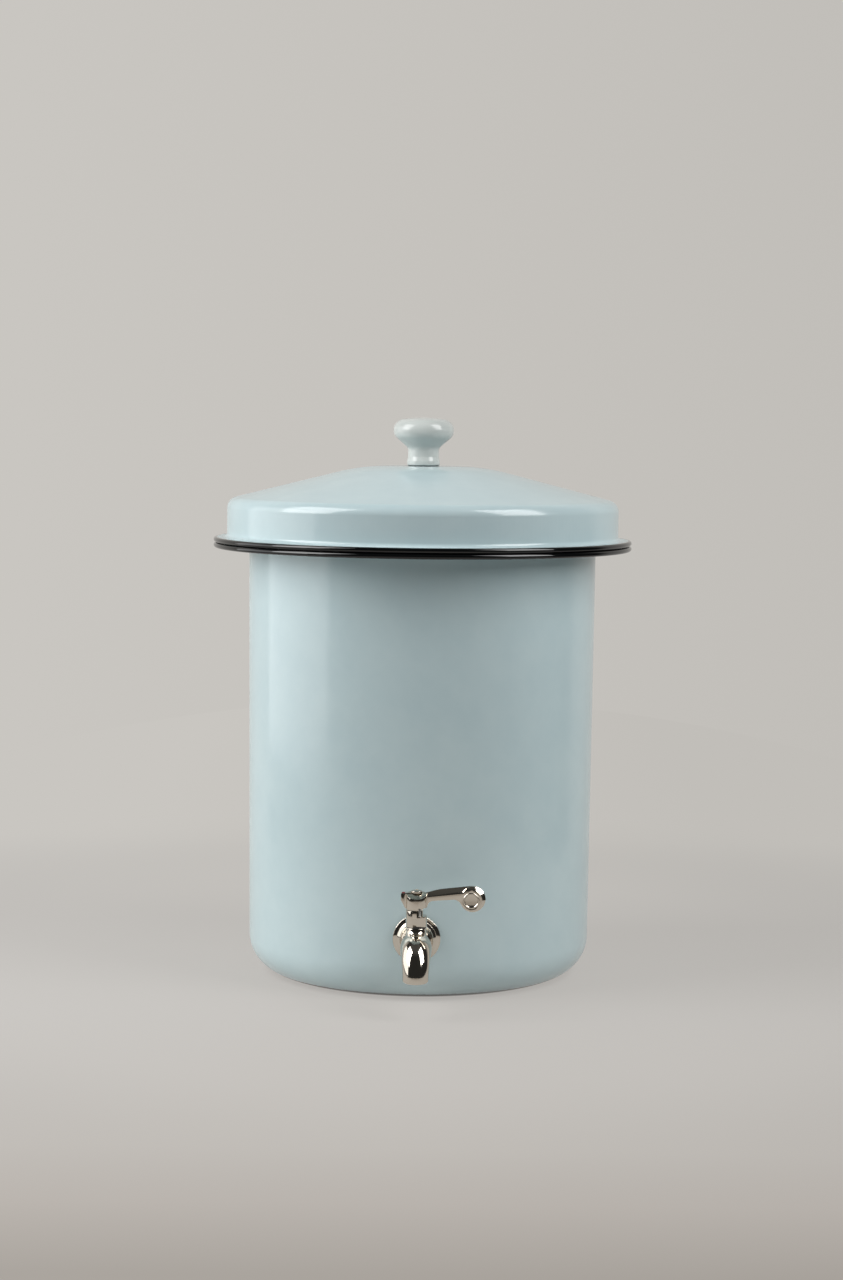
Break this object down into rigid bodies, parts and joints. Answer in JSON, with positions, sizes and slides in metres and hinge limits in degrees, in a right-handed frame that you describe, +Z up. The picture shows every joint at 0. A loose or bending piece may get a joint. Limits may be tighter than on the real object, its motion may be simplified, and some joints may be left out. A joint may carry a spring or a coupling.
{
  "type": "gravity water filter with tap",
  "caption": "Enamelled steel bucket with rounded bottom and dark curled rim, matching conical lid with knob, hanging clay filter pot inside, and a metal lever tap low on the wall.",
  "frame": {"origin": "on the bucket's axis, in the plane of the flat ring that the bucket stands on", "axes": "+Z up along the bucket's axis, -Y out of the tap's spout side, +X to the right when the tap faces the viewer"},
  "size_m": [0.3616, 0.4003, 0.4813],
  "materials": {
    "enamel": "glossy pale duck-egg vitreous enamel on steel, with black rims",
    "clay": "matt, fired, porous",
    "white_plastic": "satin moulded",
    "knob_plastic": "glossy, very pale grey-blue",
    "brass_insert": "machined",
    "grey_rubber": "matt",
    "black_rubber": "matt",
    "stainless": "turned stainless steel",
    "polished_metal": "polished cast stainless steel",
    "dot_enamel": "dark red fill"
  },
  "bodies": {
    "bucket": {"bucket_base": "enamel", "bucket_wall": "enamel", "bucket_rim": "enamel", "tap_body": "polished_metal", "tap_outer_seal": "black_rubber", "tap_inner_seal": "black_rubber", "tap_washer": "stainless", "tap_nut": "stainless", "plug_sleeve": "white_plastic", "bonnet_gasket": "black_rubber", "bonnet": "polished_metal", "stem_o_rings": "black_rubber", "stop_pin": "stainless", "thrust_washer": "white_plastic"},
    "filter": {"filter_pot": "clay", "filter_collar": "white_plastic"},
    "lid": {"lid": "enamel", "lid_rim": "enamel", "lid_knob": "knob_plastic", "knob_insert": "brass_insert", "knob_washer": "grey_rubber", "knob_inner_seal": "black_rubber", "knob_inner_washer": "stainless", "knob_screw": "stainless"},
    "lever": {"lever": "polished_metal", "valve_plug": "polished_metal", "lever_medallion": "polished_metal", "lever_cap_screw": "polished_metal", "tail_dot": "dot_enamel"}
  },
  "joints": [
    {"name": "filter_lift", "type": "slide", "parent": "bucket", "child": "filter", "axis": [0, 0, 1], "range_m": [0, 0.26]},
    {"name": "lid_lift", "type": "slide", "parent": "filter", "child": "lid", "axis": [0, 0, 1], "range_m": [0, 0.15]},
    {"name": "lever_turn", "type": "hinge", "parent": "bucket", "child": "lever", "pos_m": [0, -0.18493, 0.0862], "axis": [0, 0, -1], "range_deg": [0, 90]}
  ]
}
